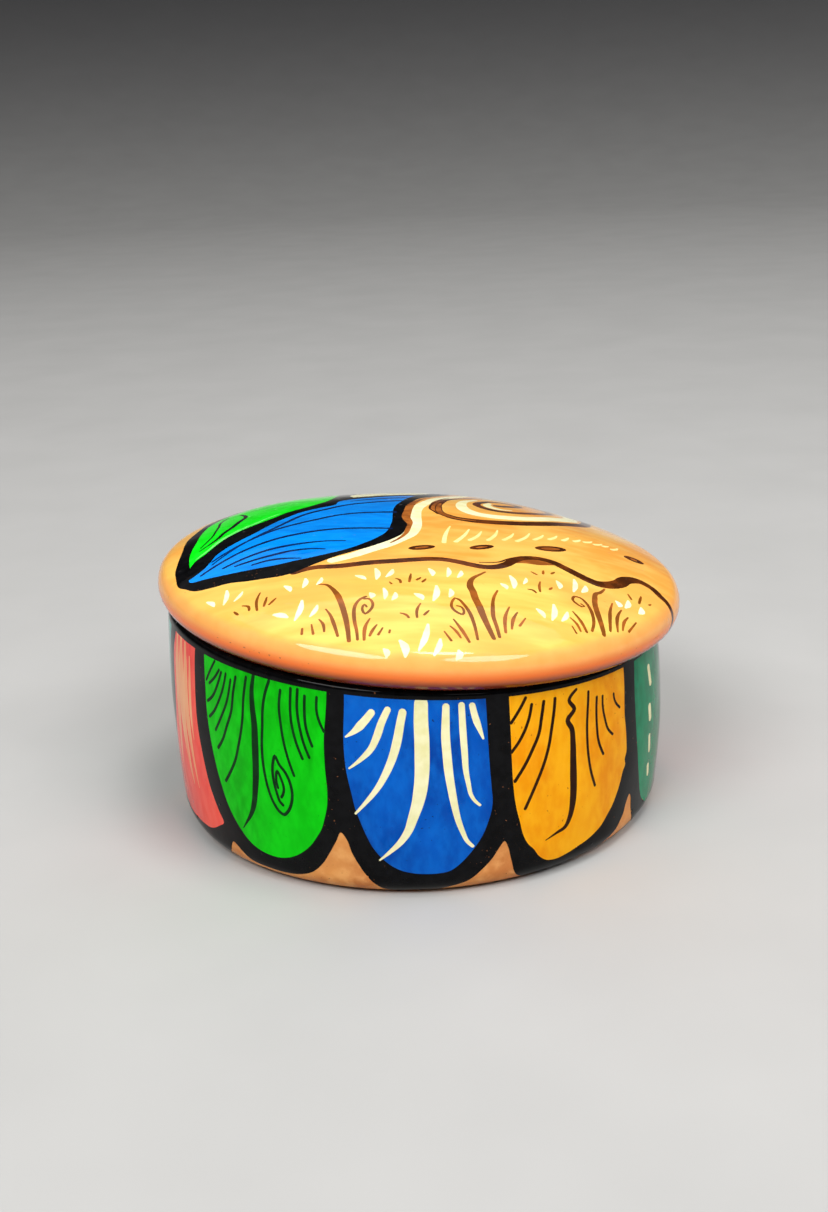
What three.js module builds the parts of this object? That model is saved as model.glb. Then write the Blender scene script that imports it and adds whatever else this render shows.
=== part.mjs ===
// A round, hand-made trinket box of fired clay, in millimetres, +Z up, standing on z = 0.
// The base is a thick-walled bowl with a level foot. Its mouth slopes down towards +X, so the
// shallow domed lid leans that way. A clay ring luted under the lid drops inside the wall and
// keeps the lid on centre. The lid lifts straight off along +Z.
import * as THREE from 'three';

// Base: wall radii outside, and heights above the foot.
const FOOT_RADIUS = 43.2;
const FOOT_CORNER = 4;
const BELLY_RADIUS = 47.9;
const BELLY_HEIGHT = 20;
const BELLY_BULGE = 0.75;
const BELLY_SPAN = 16;
const WALL = 5;
const FLOOR = 6;
const INNER_FILLET = 8;
const LIP_ROUND = 1;

// Lid: measured from the middle plane of its round rim. The rim's round ends at RIM_END degrees
// above that plane, where the dome carries on at the same slope.
const LID_RADIUS = 50;
const RIM_ROUND = 4;
const RIM_END = 66;
const CROWN_HEIGHT = 11;
const DISH_RADIUS = 35;
const DISH_DEPTH = 6;

// Ring under the lid.
const RING_OUTER = 40;
const RING_WALL = 4;
const RING_DEPTH = 5;
const RING_ROUND = 1.2;

// How the lid sits: its height, its lean about Y, and how far off centre it lies.
const LID_HEIGHT = 42.8;
const LEAN = THREE.MathUtils.degToRad(5);
const LID_SHIFT = 1.5;
const SEAT_GAP = 0.3;

const SIDES = 72;
const ARC_STEPS = 5;

const CLAY = 0xd98a4e;
const LID_CLAY = 0xe89a50;
const RING_CLAY = 0xc9784a;

const point = (x, y) => new THREE.Vector2(x, y);

// Points of an arc about (x, y), from one angle to another in degrees, ends included.
function arc(x, y, radius, from, to, steps = ARC_STEPS) {
  const points = [];
  for (let i = 0; i <= steps; i++) {
    const angle = THREE.MathUtils.degToRad(from + ((to - from) * i) / steps);
    points.push(point(x + radius * Math.cos(angle), y + radius * Math.sin(angle)));
  }
  return points;
}

// Evenly spaced values between two ends, without the ends themselves.
function between(from, to, steps) {
  return Array.from({ length: steps - 1 }, (_, i) => from + ((to - from) * (i + 1)) / steps);
}

function piece(name, geometry, color, roughness) {
  const material = new THREE.MeshStandardMaterial({ color, roughness, metalness: 0 });
  const mesh = new THREE.Mesh(geometry, material);
  mesh.name = name;
  return mesh;
}

// The wall's outer radius at a height.
function wallRadius(height) {
  const away = (height - BELLY_HEIGHT) / BELLY_SPAN;
  return BELLY_RADIUS - BELLY_BULGE * away * away;
}

// Height of the base's mouth on its axis: the lid's flat seat, less the gap under it.
function mouthHeight() {
  const seatX = LID_SHIFT - RIM_ROUND * Math.sin(LEAN);
  const seatZ = LID_HEIGHT - RIM_ROUND * Math.cos(LEAN);
  return seatZ + seatX * Math.tan(LEAN) - SEAT_GAP / Math.cos(LEAN);
}

// The bowl is turned with a level mouth, then its wall is stretched on one side and shortened
// on the other, so that the mouth's flat face lies in the sloping plane of the lid's seat.
function baseGeometry() {
  const top = mouthHeight();
  const lip = top - LIP_ROUND;
  const outer = wallRadius(lip);
  const inner = outer - WALL;
  const filletTop = FLOOR + INNER_FILLET;
  const filletX = wallRadius(filletTop) - WALL - INNER_FILLET;
  const profile = [
    point(0, 0),
    ...arc(FOOT_RADIUS, FOOT_CORNER, FOOT_CORNER, -90, 0),
    ...between(FOOT_CORNER, lip, 8).map((z) => point(wallRadius(z), z)),
    ...arc(outer - LIP_ROUND, lip, LIP_ROUND, 0, 90, 3),
    ...arc(inner + LIP_ROUND, lip, LIP_ROUND, 90, 180, 3),
    ...between(lip, filletTop, 4).map((z) => point(wallRadius(z) - WALL, z)),
    ...arc(filletX, filletTop, INNER_FILLET, 0, -90),
    point(0, FLOOR),
  ];
  const geometry = new THREE.LatheGeometry(profile, SIDES);
  geometry.rotateX(Math.PI / 2);
  const position = geometry.attributes.position;
  for (let i = 0; i < position.count; i++) {
    const z = position.getZ(i);
    const share = Math.max(0, (z - filletTop) / (top - filletTop));
    position.setZ(i, z - position.getX(i) * Math.tan(LEAN) * share);
  }
  return geometry;
}

// The dome: it starts where the rim's round ends, and its power makes the two slopes equal.
const DOME_EDGE = THREE.MathUtils.degToRad(RIM_END);
const DOME_RADIUS = LID_RADIUS - RIM_ROUND + RIM_ROUND * Math.cos(DOME_EDGE);
const DOME_FOOT = RIM_ROUND * Math.sin(DOME_EDGE);
const DOME_RISE = CROWN_HEIGHT - DOME_FOOT;
const DOME_POWER = DOME_RADIUS / (Math.tan(DOME_EDGE) * DOME_RISE);

// The lid's top surface above its middle plane, at a radius.
function domeHeight(radius) {
  return DOME_FOOT + DOME_RISE * (1 - (radius / DOME_RADIUS) ** DOME_POWER);
}

// The hollow in the lid's underside, at a radius.
function dishHeight(radius) {
  return -RIM_ROUND + DISH_DEPTH * (1 - (radius / DISH_RADIUS) ** 2);
}

function lidGeometry() {
  const profile = [
    point(0, dishHeight(0)),
    ...between(0, DISH_RADIUS, 6).map((r) => point(r, dishHeight(r))),
    point(DISH_RADIUS, -RIM_ROUND),
    ...arc(LID_RADIUS - RIM_ROUND, 0, RIM_ROUND, -90, RIM_END, 10),
    ...between(DOME_RADIUS, 0, 12).map((r) => point(r, domeHeight(r))),
    point(0, CROWN_HEIGHT),
  ];
  return new THREE.LatheGeometry(profile, SIDES).rotateX(Math.PI / 2);
}

function ringGeometry() {
  const top = -RIM_ROUND - SEAT_GAP;
  const bottom = -RIM_ROUND - RING_DEPTH;
  const inner = RING_OUTER - RING_WALL;
  const turn = bottom + RING_ROUND;
  const profile = [
    point(inner, top),
    ...arc(inner + RING_ROUND, turn, RING_ROUND, 180, 270, 3),
    ...arc(RING_OUTER - RING_ROUND, turn, RING_ROUND, -90, 0, 3),
    point(RING_OUTER, top),
    point(inner, top),
  ];
  return new THREE.LatheGeometry(profile, SIDES).rotateX(Math.PI / 2);
}

const lidParts = new THREE.Group();
lidParts.add(piece('lid', lidGeometry(), LID_CLAY, 0.2));
lidParts.add(piece('lid_locating_ring', ringGeometry(), RING_CLAY, 0.5));
lidParts.position.set(LID_SHIFT, 0, LID_HEIGHT);
lidParts.rotation.y = LEAN;

const group = new THREE.Group();
group.add(piece('box_base', baseGeometry(), CLAY, 0.2));
group.add(lidParts);

export default group;
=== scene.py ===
import bpy
import numpy as np
from mathutils import Euler, Matrix, Vector
from mathutils.geometry import delaunay_2d_cdt


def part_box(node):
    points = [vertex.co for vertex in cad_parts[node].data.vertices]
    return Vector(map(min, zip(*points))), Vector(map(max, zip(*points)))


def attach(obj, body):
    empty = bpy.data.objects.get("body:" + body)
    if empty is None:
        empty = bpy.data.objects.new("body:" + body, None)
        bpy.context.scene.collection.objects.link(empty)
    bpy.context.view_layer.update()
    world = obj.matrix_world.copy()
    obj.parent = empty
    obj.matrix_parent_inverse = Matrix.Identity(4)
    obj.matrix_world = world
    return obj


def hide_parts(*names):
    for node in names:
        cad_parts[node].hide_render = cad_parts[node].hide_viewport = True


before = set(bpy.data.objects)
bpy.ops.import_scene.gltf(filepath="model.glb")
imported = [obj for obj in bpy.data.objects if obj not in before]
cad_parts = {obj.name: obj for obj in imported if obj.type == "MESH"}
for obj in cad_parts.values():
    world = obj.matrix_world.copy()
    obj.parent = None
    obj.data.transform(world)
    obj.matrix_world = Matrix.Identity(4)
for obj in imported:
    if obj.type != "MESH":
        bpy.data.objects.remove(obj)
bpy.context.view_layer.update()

MM = 0.001

# ---------------------------------------------------------------------------------- camera

CAMERA_PLACE = (0.243, -276.94, 133.31)
CAMERA_PITCH = 19.107
CAMERA_ROLL = -2.678
CAMERA_LENS = 44.55
SENSOR = 36.0


def make_camera():
    data = bpy.data.cameras.new("camera")
    data.sensor_width = SENSOR
    data.lens = CAMERA_LENS
    data.clip_start = 0.01
    camera = bpy.data.objects.new("camera", data)
    place = Matrix.Translation(Vector(CAMERA_PLACE) * MM)
    look = Euler((np.radians(90 - CAMERA_PITCH), 0, 0)).to_matrix().to_4x4()
    roll = Matrix.Rotation(np.radians(CAMERA_ROLL), 4, "Z")
    camera.matrix_world = place @ look @ roll
    bpy.context.scene.collection.objects.link(camera)
    bpy.context.scene.camera = camera


make_camera()

# ---------------------------------------------------------------------------------- forms

# The base's profile, as in the CAD model.
FOOT_RADIUS, FOOT_CORNER = 43.2, 4.0
BELLY_RADIUS, BELLY_HEIGHT, BELLY_BULGE, BELLY_SPAN = 47.9, 20.0, 0.75, 16.0
WALL, FLOOR, INNER_FILLET, LIP_ROUND = 5.0, 6.0, 8.0, 1.0
FILLET_TOP = FLOOR + INNER_FILLET
# The lid's profile, about the middle plane of its rim.
LID_RADIUS, RIM_ROUND, RIM_END, CROWN_HEIGHT = 50.0, 4.0, np.radians(66), 11.0
RIM_MIDDLE = LID_RADIUS - RIM_ROUND
DISH_RADIUS, DISH_DEPTH = 35.0, 6.0
RING_OUTER, RING_WALL, RING_DEPTH, RING_ROUND = 40.0, 4.0, 5.0, 1.2
LEAN = np.radians(5)
SEAT_GAP = 0.3
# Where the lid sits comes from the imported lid's own box.
lid_low, lid_high = (np.array(corner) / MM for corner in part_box("lid"))
LID_SHIFT = (lid_low[0] + lid_high[0]) / 2
LID_HEIGHT = lid_low[2] + RIM_MIDDLE * np.sin(LEAN) + RIM_ROUND
SEAT_X = LID_SHIFT - RIM_ROUND * np.sin(LEAN)
SEAT_Z = LID_HEIGHT - RIM_ROUND * np.cos(LEAN)
MOUTH = SEAT_Z + SEAT_X * np.tan(LEAN) - SEAT_GAP / np.cos(LEAN)
LIP = MOUTH - LIP_ROUND
LID_FRAME = Matrix.Translation((LID_SHIFT * MM, 0, LID_HEIGHT * MM)) @ Matrix.Rotation(LEAN, 4, "Y")

DOME_RADIUS = RIM_MIDDLE + RIM_ROUND * np.cos(RIM_END)
DOME_FOOT = RIM_ROUND * np.sin(RIM_END)
DOME_RISE = CROWN_HEIGHT - DOME_FOOT
DOME_POWER = DOME_RADIUS / (np.tan(RIM_END) * DOME_RISE)


def wall_radius(height):
    return BELLY_RADIUS - BELLY_BULGE * ((height - BELLY_HEIGHT) / BELLY_SPAN) ** 2


def sheared(x, height):
    """The wall is longer on the -X side and shorter on the +X side, for the leaning lid."""
    share = np.clip((height - FILLET_TOP) / (MOUTH - FILLET_TOP), 0, None)
    return height - x * np.tan(LEAN) * share


def hand_made(angle, height):
    """How far the thrown wall strays from true, by angle and height."""
    sway = 0.16 * np.sin(3 * angle + 0.7 + 0.05 * height)
    sway += 0.10 * np.sin(5 * angle - 1.1 + 0.11 * height)
    sway += 0.07 * np.sin(9 * angle + 2.0) * np.sin(0.16 * height + 1)
    sway += 0.05 * np.sin(17 * angle + 0.3) * np.sin(0.31 * height)
    return sway * np.clip((LIP - height) / 6, 0.3, 1) * np.clip((height + 1) / 5, 0, 1)


# The wall's painted surface is unrolled: u along the circle, v up the profile, round the corner
# of the foot and over the lip too.
UNROLL = np.radians(1) * 47.7
QUARTER = LIP_ROUND * np.pi / 2


def wall_point(u, v):
    angle = np.radians(u / UNROLL)
    turn = (v - FOOT_CORNER) / FOOT_CORNER
    low, high = v < FOOT_CORNER, v > LIP
    radius = np.where(low, FOOT_RADIUS + FOOT_CORNER * np.cos(turn), wall_radius(v))
    height = np.where(low, FOOT_CORNER + FOOT_CORNER * np.sin(turn), v)
    over = np.clip(v - LIP, 0, QUARTER) / LIP_ROUND
    inward = np.clip(v - LIP - QUARTER, 0, None)
    radius = np.where(high, wall_radius(LIP) + LIP_ROUND * (np.cos(over) - 1) - inward, radius)
    height = np.where(high, LIP + LIP_ROUND * np.sin(over), height)
    radius = radius + hand_made(angle, v)
    x = radius * np.sin(angle)
    return np.stack([x, -radius * np.cos(angle), sheared(x, height)], -1)


def on_wall(points):
    """(degrees from the front, height) on the standing wall to unrolled (u, v)."""
    angle, z = np.array(points, float).T
    k = wall_radius(z) * np.sin(np.radians(angle)) * np.tan(LEAN) / (MOUTH - FILLET_TOP)
    v = np.where(z > FILLET_TOP, (z - FILLET_TOP * k) / (1 - k), z)
    turn = np.arcsin(np.clip((z - FOOT_CORNER) / FOOT_CORNER, -1, 0))
    v = np.where(z < FOOT_CORNER, FOOT_CORNER + FOOT_CORNER * turn, v)
    return np.stack([angle * UNROLL, v], -1)


def dome_height(radius):
    return DOME_FOOT + DOME_RISE * (1 - (radius / DOME_RADIUS) ** DOME_POWER)


# The dome's waves fade out over the last stretch of the unrolled lid.
WAVES_END, WAVES_FADE = 54.0, 8.0
OUT_OF_ROUND = 0.0024
TINY = 1e-9


def lid_wave(x, y):
    """How far the dome strays from true, at an unrolled place."""
    wave = 0.14 * np.sin(0.11 * x + 0.06 * y + 0.5) * np.sin(0.13 * y - 0.04 * x)
    wave += 0.06 * np.sin(0.27 * x - 0.1 * y) * np.sin(0.23 * y + 1.3)
    return wave * lid_ease(np.hypot(x, y))


def lid_ease(along):
    return np.clip((WAVES_END - along) / WAVES_FADE, 0, 1)


def lid_point(x, y):
    """The dome and rim, unrolled from the crown: x and y are the plan up to the rim's round."""
    along = np.hypot(x, y) + TINY
    turn = RIM_END - np.clip(along - DOME_RADIUS, 0, None) / RIM_ROUND
    on_rim = along > DOME_RADIUS
    radius = np.where(on_rim, RIM_MIDDLE + RIM_ROUND * np.cos(turn), along)
    dome = dome_height(np.minimum(along, DOME_RADIUS))
    height = np.where(on_rim, RIM_ROUND * np.sin(turn), dome) + lid_wave(x, y)
    grown = lid_ease(along) * np.clip(along / LID_RADIUS, 0, 1) ** 4
    stray = 1 + OUT_OF_ROUND * grown * np.sin(4 * np.arctan2(y, x) + 1)
    return np.stack([x / along * radius * stray, y / along * radius * stray, height], -1)


def on_lid(points):
    """Plan (x, y) on the lid to unrolled (x, y)."""
    flat = np.array(points, float)
    radius = np.hypot(*flat.T)
    turn = np.arccos(np.clip((radius - RIM_MIDDLE) / RIM_ROUND, -1, 1))
    along = np.where(radius > DOME_RADIUS, DOME_RADIUS + (RIM_END - turn) * RIM_ROUND, radius)
    along = along + np.clip(radius - LID_RADIUS, 0, None)
    return flat * (along / np.maximum(radius, TINY))[:, None]


NORMAL_STEP = 0.02


def normals(surface, a, b):
    """Outward unit normals of a surface of two parameters."""
    da = surface(a + NORMAL_STEP, b) - surface(a - NORMAL_STEP, b)
    db = surface(a, b + NORMAL_STEP) - surface(a, b - NORMAL_STEP)
    out = np.cross(da, db)
    return out / np.linalg.norm(out, axis=-1, keepdims=True)


# ---------------------------------------------------------------------------------- meshes


def make_object(name, vertices, faces, material, body, vertex_normals=None):
    """A smooth mesh on a body. The lid's meshes are made level, and LID_FRAME leans them."""
    data = bpy.data.meshes.new(name)
    data.from_pydata([tuple(p) for p in np.asarray(vertices) * MM], [], [list(f) for f in faces])
    data.validate(clean_customdata=False)
    data.shade_smooth()
    if vertex_normals is not None:
        data.normals_split_custom_set_from_vertices([tuple(n) for n in vertex_normals])
    data.materials.append(material)
    piece = bpy.data.objects.new(name, data)
    if body == "lid":
        piece.matrix_world = LID_FRAME
    bpy.context.scene.collection.objects.link(piece)
    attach(piece, body)
    return piece


def arc(x, z, radius, start, end, steps):
    turn = np.radians(np.linspace(start, end, steps + 1))
    return [(x + radius * np.cos(t), z + radius * np.sin(t)) for t in turn]


TURNS = 288


def lathe(profile, place):
    """Turns a profile of (radius, height). A radius of 0 at an end closes it with a fan."""
    vertices, rows = [], []
    angle = np.linspace(0, 2 * np.pi, TURNS, endpoint=False)
    for radius, height in profile:
        if radius == 0:
            rows.append([len(vertices)])
            vertices.extend(place(np.zeros(1), np.zeros(1) + height, np.zeros(1)))
            continue
        rows.append(list(range(len(vertices), len(vertices) + TURNS)))
        vertices.extend(place(np.full(TURNS, radius), np.full(TURNS, height), angle))
    faces = []
    for low, high in zip(rows, rows[1:] + ([rows[0]] if len(rows[0]) > 1 else [])):
        for i in range(TURNS):
            j = (i + 1) % TURNS
            ring = [low[i % len(low)], low[j % len(low)], high[j % len(high)], high[i % len(high)]]
            faces.append(list(dict.fromkeys(ring)))
    return vertices, faces


# ---------------------------------------------------------------------------------- brushwork

CURVE_STEP = 0.45


def smooth(points):
    """A smooth curve through the points, evenly stepped."""
    p = np.array(points, float)
    if len(p) < 3:
        count = max(2, int(np.hypot(*(p[-1] - p[0])) / CURVE_STEP) + 1)
        return p[0] + (p[-1] - p[0]) * np.linspace(0, 1, count)[:, None]
    gap = np.hypot(*np.diff(p, axis=0).T)
    slope = np.diff(p, axis=0) / gap[:, None]
    tangent = np.empty_like(p)
    tangent[1:-1] = slope[:-1] * gap[1:, None] + slope[1:] * gap[:-1, None]
    tangent[1:-1] /= (gap[1:] + gap[:-1])[:, None]
    tangent[0] = 1.5 * slope[0] - 0.5 * tangent[1]
    tangent[-1] = 1.5 * slope[-1] - 0.5 * tangent[-2]
    out = []
    for i, length in enumerate(gap):
        t = np.linspace(0, 1, max(1, int(round(length / CURVE_STEP))) + 1)[:-1, None]
        h = [2 * t**3 - 3 * t**2 + 1, t**3 - 2 * t**2 + t, 3 * t**2 - 2 * t**3, t**3 - t**2]
        out.append(h[0] * p[i] + h[1] * length * tangent[i] + h[2] * p[i + 1]
                   + h[3] * length * tangent[i + 1])
    return np.vstack(out + [p[-1:]])


def outline(*edges):
    """A closed outline of smooth edges that meet in corners."""
    return np.vstack([smooth(edge)[:-1] if len(edge) > 2 else np.array(edge[:1], float)
                      for edge in edges] + [np.array(edges[-1][-1:], float)])


CAP_TURNS = np.radians([60, 20, -20, -60])[:, None]


def brush(points, widths):
    """The outline of a brush stroke along a curve. The widths are spread evenly along it."""
    line = smooth(points)
    widths = np.atleast_1d(np.array(widths, float))
    along = np.concatenate([[0], np.cumsum(np.hypot(*np.diff(line, axis=0).T))])
    spread = np.linspace(0, along[-1], len(widths))
    half = np.interp(along, spread, widths) / 2
    run = np.gradient(line, along, axis=0)
    run /= np.linalg.norm(run, axis=1, keepdims=True)
    side = np.stack([-run[:, 1], run[:, 0]], -1)
    left, right = line + side * half[:, None], line - side * half[:, None]
    caps = []
    for end, way in ((-1, 1), (0, -1)):
        reach = np.cos(CAP_TURNS) * run[end] * way + np.sin(CAP_TURNS) * side[end] * way
        caps.append(line[end] + reach * half[end])
    return np.vstack([left, caps[0], right[::-1], caps[1]])


def ellipse(x, y, long, short, tilt):
    turn = np.linspace(0, 2 * np.pi, 20, endpoint=False)
    c, s = np.cos(np.radians(tilt)), np.sin(np.radians(tilt))
    a, b = long * np.cos(turn), short * np.sin(turn)
    return np.stack([x + a * c - b * s, y + a * s + b * c], -1)


def inside(points, loop):
    """Which points a closed outline winds round."""
    found = np.zeros(len(points), bool)
    near = np.all((points > loop.min(0)) & (points < loop.max(0)), axis=1)
    p = points[near]
    if not len(p):
        return found
    a, b = loop, np.roll(loop, -1, 0)
    x, y = p[:, :1], p[:, 1:]
    left = (b[:, 0] - a[:, 0]) * (y - a[:, 1]) - (x - a[:, 0]) * (b[:, 1] - a[:, 1])
    up = (a[:, 1] <= y) & (b[:, 1] > y) & (left > 0)
    down = (a[:, 1] > y) & (b[:, 1] <= y) & (left < 0)
    found[near] = up.sum(1) - down.sum(1) != 0
    return found


LONGEST_EDGE = 1.2


def dense(loop):
    """A closed outline with its long edges divided, so that they follow the curved surface."""
    out = []
    for a, b in zip(loop, np.roll(loop, -1, 0)):
        count = max(1, int(np.ceil(np.hypot(*(b - a)) / LONGEST_EDGE)))
        out.append(a + (b - a) * (np.arange(count) / count)[:, None])
    return np.vstack(out)


# Points closer than this are one point, and triangles smaller than this are dropped.
SAME_POINT, NO_AREA = 1e-4, 1e-7


def partition(border, shapes, ground):
    """Cuts the flat border up along all the outlines. Returns the points, the triangles, and
    each triangle's colour: that of the last shape painted over it."""
    vertices, edges = [], []
    for loop in [border] + [dense(loop) for _, loop in shapes]:
        first = len(vertices)
        vertices.extend(loop)
        edges.extend((first + i, first + (i + 1) % len(loop)) for i in range(len(loop)))
    vertices.extend(ground)
    found = delaunay_2d_cdt([Vector(p) for p in vertices], edges, [], 0, SAME_POINT, False)
    points = np.array([tuple(p) for p in found[0]])
    triangles = np.array([list(f) for f in found[2]])
    middle = points[triangles].mean(1)
    corner = points[triangles]
    span = np.cross(corner[:, 1] - corner[:, 0], corner[:, 2] - corner[:, 0])
    triangles[span < 0] = triangles[span < 0][:, ::-1]
    colours = np.full(len(triangles), "", dtype=object)
    keep = inside(middle, border) & (np.abs(span) > NO_AREA)
    for colour, loop in shapes:
        colours[inside(middle, loop)] = colour
    return points, triangles[keep], colours[keep]


FILM_TOP = 0.06
FILM_SINK = -0.05


def film(name, points, triangles, surface, material, body):
    """A closed film of paint over part of a surface, half sunk in the clay."""
    used, faces = np.unique(triangles, return_inverse=True)
    faces = faces.reshape(-1, 3)
    a, b = points[used].T
    place = surface(a, b)
    _, first, weld = np.unique(np.round(place, 4), axis=0, return_index=True, return_inverse=True)
    faces = weld.reshape(-1)[faces]
    place, out = place[first], normals(surface, a, b)[first]
    faces = faces[[len(set(f)) == 3 for f in faces]]
    count = len(place)
    sides = {}
    for p, q, r in faces:
        for edge in ((p, q), (q, r), (r, p)):
            sides[edge] = sides.get(edge, 0) + 1
    rim = [edge for edge in sides if (edge[1], edge[0]) not in sides]
    vertices = np.vstack([place + out * FILM_TOP, place + out * FILM_SINK])
    quads = [(q, p, p + count, q + count) for p, q in rim]
    loops = [tuple(f) for f in faces] + [tuple(f[::-1] + count) for f in faces] + quads
    return make_object(name, vertices, loops, material, body, np.vstack([out, -out]))


# ---------------------------------------------------------------------------------- shaders


# Blisters in the varnish: millimetres from one to the next, and their radius as a part of that.
BUBBLES_APART, BUBBLE_EDGE = 2.6, 0.16


class Shader:
    """A material under construction, with short names for its nodes."""

    def __init__(self, name):
        self.material = bpy.data.materials.new(name)
        self.material.use_nodes = True
        self.tree = self.material.node_tree
        self.bsdf = self.tree.nodes["Principled BSDF"]
        self.place = self.add("ShaderNodeTexCoord").outputs["Object"]

    def add(self, kind, settings=(), **inputs):
        node = self.tree.nodes.new(kind)
        for key, value in dict(settings).items():
            setattr(node, key, value)
        for key, value in inputs.items():
            self.put(node.inputs[key.replace("_", " ")], value)
        return node

    def put(self, socket, value):
        if isinstance(value, bpy.types.NodeSocket):
            self.tree.links.new(value, socket)
        else:
            socket.default_value = value

    def noise(self, size, detail=2.0, stretch=(1, 1, 1), seed=0.0):
        """Noise with features of about that size in millimetres."""
        scale = [s / (size * MM) for s in stretch]
        spot = self.add("ShaderNodeMapping", Vector=self.place, Scale=scale,
                        Location=(seed, seed * 0.7, -seed))
        grain = self.add("ShaderNodeTexNoise", Vector=spot.outputs[0], Detail=detail, Scale=1.0)
        return grain.outputs["Fac"]

    def bubbles(self):
        """Small round blisters in the varnish, in some cells of an uneven grid."""
        cells = self.add("ShaderNodeTexVoronoi", Vector=self.place, Scale=1 / (BUBBLES_APART * MM))
        dome = self.span(cells.outputs["Distance"], BUBBLE_EDGE, 0.02)
        some = self.math("GREATER_THAN", self.noise(9.0, 1.0, seed=15.0), 0.52)
        return self.math("MULTIPLY", dome, some)

    def span(self, value, low, high, to_low=0.0, to_high=1.0):
        node = self.add("ShaderNodeMapRange", {"interpolation_type": "SMOOTHSTEP"}, Value=value)
        for key, number in zip(("From Min", "From Max", "To Min", "To Max"),
                               (low, high, to_low, to_high)):
            node.inputs[key].default_value = number
        return node.outputs[0]

    def math(self, operation, a, b=0.0):
        node = self.add("ShaderNodeMath", {"operation": operation})
        self.put(node.inputs[0], a)
        self.put(node.inputs[1], b)
        return node.outputs[0]

    def mix(self, factor, a, b, blend="MIX"):
        node = self.add("ShaderNodeMix", {"data_type": "RGBA", "blend_type": blend})
        self.put(node.inputs[0], factor)
        self.put(node.inputs[6], a)
        self.put(node.inputs[7], b)
        return node.outputs[2]

    def split(self):
        return self.add("ShaderNodeSeparateXYZ", Vector=self.place).outputs

    def radius(self):
        x, y, _ = self.split()
        return self.math("SQRT", self.math("ADD", self.math("MULTIPLY", x, x),
                                           self.math("MULTIPLY", y, y)))

    def bump(self, height, distance, normal=None):
        node = self.add("ShaderNodeBump", Height=height, Distance=distance * MM, Strength=1.0)
        if normal is not None:
            self.put(node.inputs["Normal"], normal)
        return node.outputs[0]


def colour(code):
    """A display colour such as 0xE8924C as the linear colour that a shader takes."""
    parts = [((code >> shift) & 255) / 255 for shift in (16, 8, 0)]
    return [p / 12.92 if p <= 0.04045 else ((p + 0.055) / 1.055) ** 2.4 for p in parts] + [1.0]


THIN_VARNISH, THICK_VARNISH = 1.18, 1.38


def varnish(s, base, roughness=0.5, relief=0.02, coat=1.0, ior=THIN_VARNISH):
    """Clear gloss varnish, brushed on a little unevenly, over a paint or clay colour."""
    s.put(s.bsdf.inputs["Base Color"], base)
    s.bsdf.inputs["Roughness"].default_value = roughness
    s.bsdf.inputs["Specular IOR Level"].default_value = 0.0
    s.bsdf.inputs["Coat Weight"].default_value = coat
    s.bsdf.inputs["Coat IOR"].default_value = ior
    s.bsdf.inputs["Coat Roughness"].default_value = 0.035
    paint = s.bump(s.noise(0.8, 3.0, seed=2.0), relief)
    paint = s.bump(s.noise(3.5, 2.0, seed=5.0), relief * 2, paint)
    s.put(s.bsdf.inputs["Normal"], paint)
    gloss = s.bump(s.noise(6.0, 1.0, seed=8.0), 0.10)
    gloss = s.bump(s.noise(1.4, 2.0, seed=9.0), 0.012, gloss)
    gloss = s.bump(s.bubbles(), 0.06, gloss)
    s.put(s.bsdf.inputs["Coat Normal"], gloss)
    return s.material


def painted(name, deep, middle, light, streak=(1, 1, 1), speck=None, relief=0.02, size=5.0,
            ior=THIN_VARNISH):
    """A brushed colour: soft mottling of three tones, fine streaks, and pinholes if asked."""
    s = Shader(name)
    broad = s.span(s.noise(size * 2.2, 3.0, streak, 1.0), 0.35, 0.68)
    fine = s.span(s.noise(size * 0.35, 4.0, streak, 3.0), 0.3, 0.75)
    tone = s.mix(broad, colour(deep), colour(middle))
    tone = s.mix(s.math("MULTIPLY", fine, 0.55), tone, colour(light))
    if speck is not None:
        holes = s.span(s.noise(0.55, 1.0, seed=7.0), 0.735, 0.765)
        patch = s.span(s.noise(9.0, 1.0, seed=6.0), 0.45, 0.6)
        tone = s.mix(s.math("MULTIPLY", holes, patch), tone, colour(speck))
    return varnish(s, tone, relief=relief, ior=ior)


def land_paint():
    """Straw yellow brushed across, turning orange towards the rim."""
    s = Shader("yellow_land")
    streak = s.span(s.noise(7.0, 4.0, (0.35, 2.2, 1), 1.0), 0.34, 0.66)
    tone = s.mix(streak, colour(0xE6B04C), colour(0xE9C660))
    warm = s.span(s.noise(15.0, 3.0, (0.6, 1.4, 1), 4.0), 0.44, 0.66)
    tone = s.mix(s.math("MULTIPLY", warm, 0.7), tone, colour(0xECA44C))
    sides = s.span(s.math("ABSOLUTE", s.split()[0]), 22 * MM, 46 * MM, 0.0, 0.6)
    tone = s.mix(sides, tone, colour(0xF0AE54))
    return varnish(s, rim_fade_and_shade(s, tone), ior=THICK_VARNISH)


def rim_fade_and_shade(s, tone):
    """Orange on the rim's round, redder below, with painted shade that turns the rim's underside dark
    brown.
    """
    wander = s.math("MULTIPLY", s.noise(9.0, 3.0, seed=3.0), 2.2 * MM)
    edge = s.math("ADD", s.radius(), wander)
    rim = s.mix(s.noise(4.0, 3.0, seed=12.0), colour(0xF09E4C), colour(0xF8B466))
    tone = s.mix(s.span(edge, 49.3 * MM, 50.7 * MM), tone, rim)
    _, _, z = s.split()
    under = s.mix(s.span(z, 1.2 * MM, -1.2 * MM), tone, colour(0xFF7C30))
    # Painted shade: below the rim's middle the colour turns dark brown, for the shade under the overhang.
    return s.mix(s.span(z, -0.8 * MM, -2.8 * MM), under, colour(0x7A2C12))


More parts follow.
